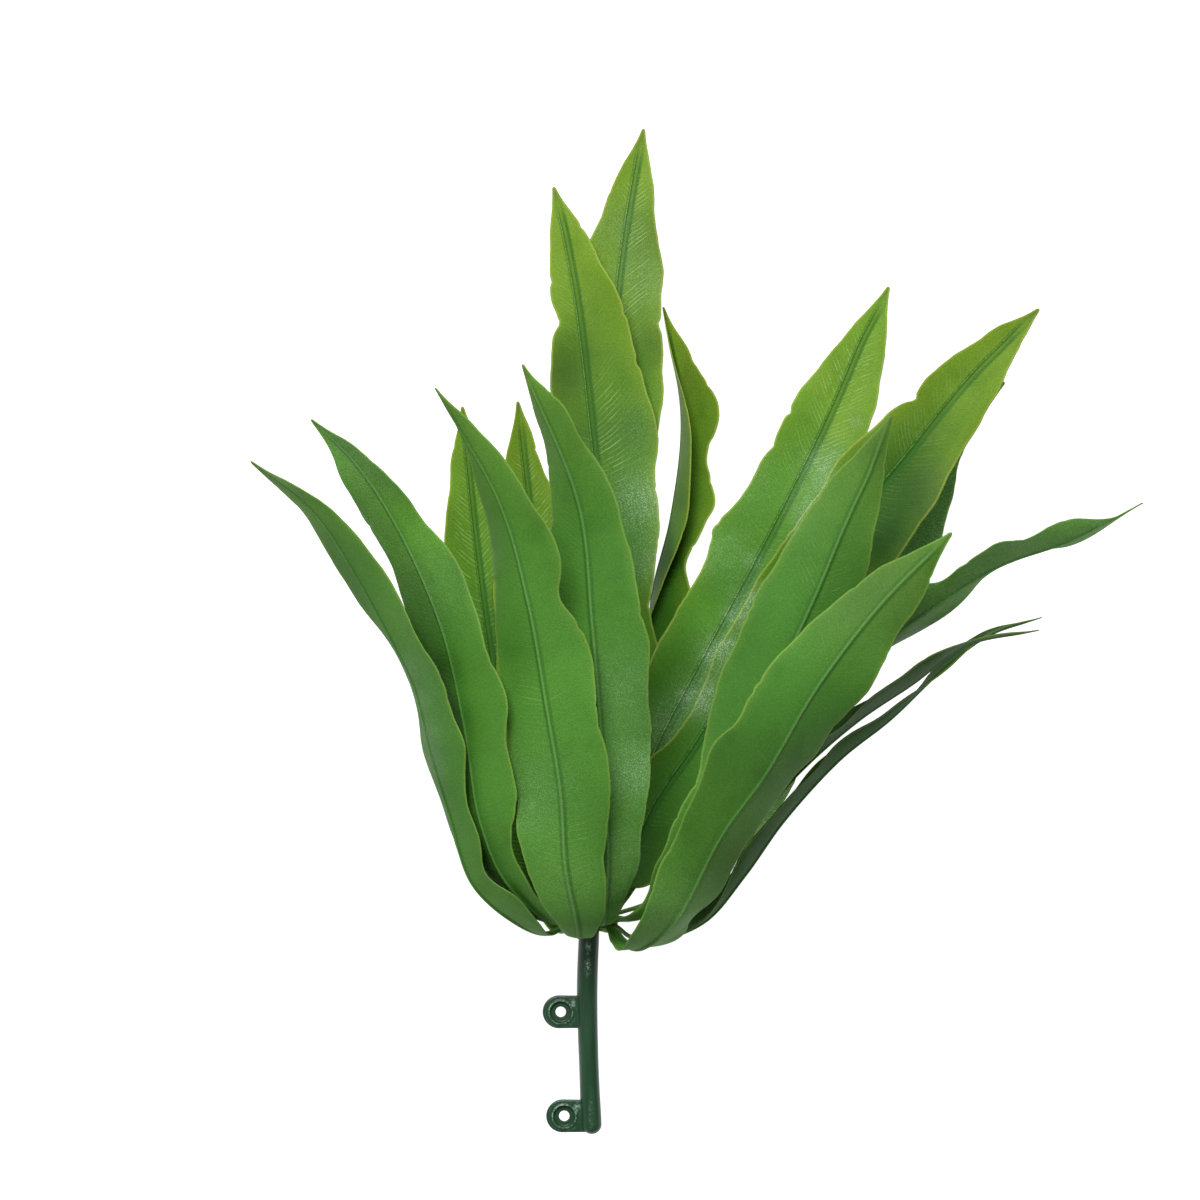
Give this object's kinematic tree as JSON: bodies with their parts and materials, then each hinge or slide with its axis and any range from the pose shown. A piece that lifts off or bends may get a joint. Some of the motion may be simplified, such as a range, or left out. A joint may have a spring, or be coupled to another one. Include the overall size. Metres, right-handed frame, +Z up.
{
  "type": "artificial birds nest fern pick",
  "caption": "Moulded plastic fern pick: strap-shaped fronds with raised midribs and waved edges spread from rings on a short green stem with side eyelets for wire or screws.",
  "frame": {"origin": "Middle of the footprint, on the surface that the pick lies on.", "axes": "+X is the right of the plant seen from above, +Y runs along the stem towards the frond tips, +Z is up, away from the surface."},
  "size_m": [0.352, 0.4078, 0.1372],
  "materials": {
    "frond_green": "moulded leaf-green plastic, semi-gloss, yellower at the edges and tips",
    "stem_green": "moulded dark green plastic, semi-gloss"
  },
  "bodies": {
    "root": {"stem": "stem_green", "whorl_ring_lower": "frond_green", "whorl_ring_middle": "frond_green", "whorl_ring_upper": "frond_green", "frond_left_outer": "frond_green", "frond_left_inner": "frond_green", "frond_front_left": "frond_green", "frond_front_middle": "frond_green", "frond_front_right": "frond_green", "frond_right_front": "frond_green", "frond_right_wavy": "frond_green", "frond_right_thin_upper": "frond_green", "frond_right_thin_lower": "frond_green", "frond_back_low_left": "frond_green", "frond_back_low_middle": "frond_green", "frond_back_tall_left": "frond_green", "frond_back_tall_middle": "frond_green", "frond_back_twisted": "frond_green", "frond_back_right": "frond_green", "frond_back_far_right": "frond_green", "frond_back_hidden_right": "frond_green"}
  },
  "joints": []
}
